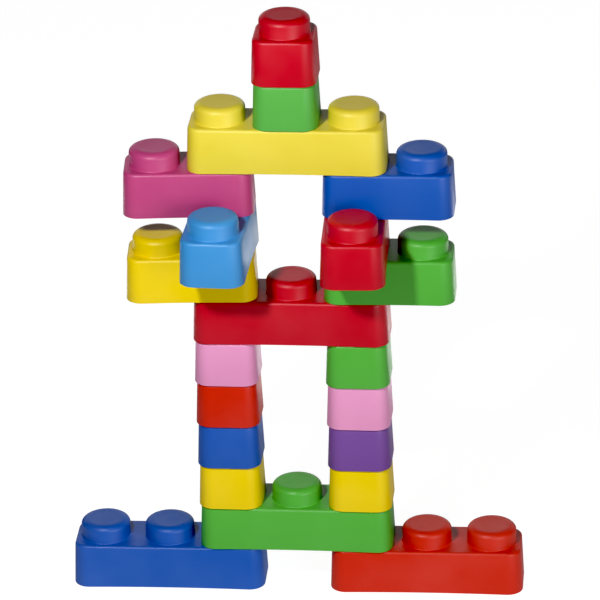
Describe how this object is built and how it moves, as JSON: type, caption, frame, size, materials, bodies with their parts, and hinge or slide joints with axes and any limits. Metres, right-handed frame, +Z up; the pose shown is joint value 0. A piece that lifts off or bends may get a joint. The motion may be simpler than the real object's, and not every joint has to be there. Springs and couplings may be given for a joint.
{
  "type": "giant stacking block tower",
  "caption": "Figure-shaped tower of giant hollow plastic blocks whose round studs plug into the open undersides of the blocks above.",
  "frame": {"origin": "on the ground, under the middle of the whole figure", "axes": "+Z up; the figure faces -Y; +X is to the right of someone who looks at its front"},
  "size_m": [0.5866, 0.1692, 0.7876],
  "materials": {
    "yellow_plastic": "satin moulded polyethylene",
    "pale_yellow_plastic": "satin moulded polyethylene",
    "blue_plastic": "satin moulded polyethylene",
    "light_blue_plastic": "satin moulded polyethylene",
    "red_plastic": "satin moulded polyethylene",
    "orange_red_plastic": "satin moulded polyethylene",
    "green_plastic": "satin moulded polyethylene",
    "fresh_green_plastic": "satin moulded polyethylene",
    "magenta_plastic": "satin moulded polyethylene",
    "pink_plastic": "satin moulded polyethylene",
    "purple_plastic": "satin moulded polyethylene"
  },
  "bodies": {
    "left_foot_block": {"left_foot_block": "blue_plastic"},
    "right_foot_block": {"right_foot_block": "orange_red_plastic"},
    "hip_block": {"hip_block": "green_plastic"},
    "left_leg_block_1": {"left_leg_block_1": "yellow_plastic"},
    "left_leg_block_2": {"left_leg_block_2": "blue_plastic"},
    "left_leg_block_3": {"left_leg_block_3": "orange_red_plastic"},
    "left_leg_block_4": {"left_leg_block_4": "pink_plastic"},
    "right_leg_block_1": {"right_leg_block_1": "yellow_plastic"},
    "right_leg_block_2": {"right_leg_block_2": "purple_plastic"},
    "right_leg_block_3": {"right_leg_block_3": "pink_plastic"},
    "right_leg_block_4": {"right_leg_block_4": "green_plastic"},
    "waist_block": {"waist_block": "red_plastic"},
    "left_lower_arm_block": {"left_lower_arm_block": "yellow_plastic"},
    "right_lower_arm_block": {"right_lower_arm_block": "green_plastic"},
    "left_front_arm_block": {"left_front_arm_block": "light_blue_plastic"},
    "right_front_arm_block": {"right_front_arm_block": "red_plastic"},
    "left_upper_arm_block": {"left_upper_arm_block": "magenta_plastic"},
    "right_upper_arm_block": {"right_upper_arm_block": "blue_plastic"},
    "shoulder_block": {"shoulder_block": "pale_yellow_plastic"},
    "neck_block": {"neck_block": "fresh_green_plastic"},
    "head_block": {"head_block": "red_plastic"}
  },
  "joints": [
    {"name": "left_foot_swivel", "type": "hinge", "parent": "hip_block", "child": "left_foot_block", "pos_m": [-0.084, 0.04101, 0], "axis": [0, 0, 1], "range_deg": [-90, 90]},
    {"name": "right_foot_swivel", "type": "hinge", "parent": "hip_block", "child": "right_foot_block", "pos_m": [0.084, 0.04101, 0], "axis": [0, 0, 1], "range_deg": [-90, 90]},
    {"name": "left_leg_lift_1", "type": "slide", "parent": "hip_block", "child": "left_leg_block_1", "axis": [0, 0, 1], "range_m": [0, 0.03]},
    {"name": "left_leg_lift_2", "type": "slide", "parent": "left_leg_block_1", "child": "left_leg_block_2", "axis": [0, 0, 1], "range_m": [0, 0.03]},
    {"name": "left_leg_lift_3", "type": "slide", "parent": "left_leg_block_2", "child": "left_leg_block_3", "axis": [0, 0, 1], "range_m": [0, 0.03]},
    {"name": "left_leg_lift_4", "type": "slide", "parent": "left_leg_block_3", "child": "left_leg_block_4", "axis": [0, 0, 1], "range_m": [0, 0.03]},
    {"name": "right_leg_lift_1", "type": "slide", "parent": "hip_block", "child": "right_leg_block_1", "axis": [0, 0, 1], "range_m": [0, 0.03]},
    {"name": "right_leg_lift_2", "type": "slide", "parent": "right_leg_block_1", "child": "right_leg_block_2", "axis": [0, 0, 1], "range_m": [0, 0.03]},
    {"name": "right_leg_lift_3", "type": "slide", "parent": "right_leg_block_2", "child": "right_leg_block_3", "axis": [0, 0, 1], "range_m": [0, 0.03]},
    {"name": "right_leg_lift_4", "type": "slide", "parent": "right_leg_block_3", "child": "right_leg_block_4", "axis": [0, 0, 1], "range_m": [0, 0.03]},
    {"name": "waist_lift", "type": "slide", "parent": "left_leg_block_4", "child": "waist_block", "axis": [0, 0, 1], "range_m": [0, 0.03]},
    {"name": "left_lower_arm_swivel", "type": "hinge", "parent": "waist_block", "child": "left_lower_arm_block", "pos_m": [-0.084, 0.04101, 0.4116], "axis": [0, 0, 1], "range_deg": [-114, 9]},
    {"name": "right_lower_arm_swivel", "type": "hinge", "parent": "waist_block", "child": "right_lower_arm_block", "pos_m": [0.084, 0.04101, 0.4116], "axis": [0, 0, 1], "range_deg": [-14, 109]},
    {"name": "left_front_arm_swivel", "type": "hinge", "parent": "waist_block", "child": "left_front_arm_block", "pos_m": [-0.084, 0.04101, 0.4704], "axis": [0, 0, 1], "range_deg": [-11, 22]},
    {"name": "right_front_arm_swivel", "type": "hinge", "parent": "waist_block", "child": "right_front_arm_block", "pos_m": [0.084, 0.04101, 0.4704], "axis": [0, 0, 1], "range_deg": [-22, 11]},
    {"name": "left_upper_arm_swivel", "type": "hinge", "parent": "waist_block", "child": "left_upper_arm_block", "pos_m": [-0.084, 0.04101, 0.5292], "axis": [0, 0, 1], "range_deg": [-114.5, 8.5]},
    {"name": "right_upper_arm_swivel", "type": "hinge", "parent": "waist_block", "child": "right_upper_arm_block", "pos_m": [0.084, 0.04101, 0.5292], "axis": [0, 0, 1], "range_deg": [-13.5, 109.5]},
    {"name": "shoulder_lift", "type": "slide", "parent": "waist_block", "child": "shoulder_block", "axis": [0, 0, 1], "range_m": [0, 0.03]},
    {"name": "neck_swivel", "type": "hinge", "parent": "shoulder_block", "child": "neck_block", "pos_m": [0, 0.04101, 0.6468], "axis": [0, 0, 1], "continuous": true},
    {"name": "head_lift", "type": "slide", "parent": "neck_block", "child": "head_block", "axis": [0, 0, 1], "range_m": [0, 0.03]}
  ],
  "couplings": [
    {"joint": "right_leg_lift_1", "follows": "left_leg_lift_1", "ratio": 1},
    {"joint": "right_leg_lift_2", "follows": "left_leg_lift_2", "ratio": 1},
    {"joint": "right_leg_lift_3", "follows": "left_leg_lift_3", "ratio": 1},
    {"joint": "right_leg_lift_4", "follows": "left_leg_lift_4", "ratio": 1}
  ]
}
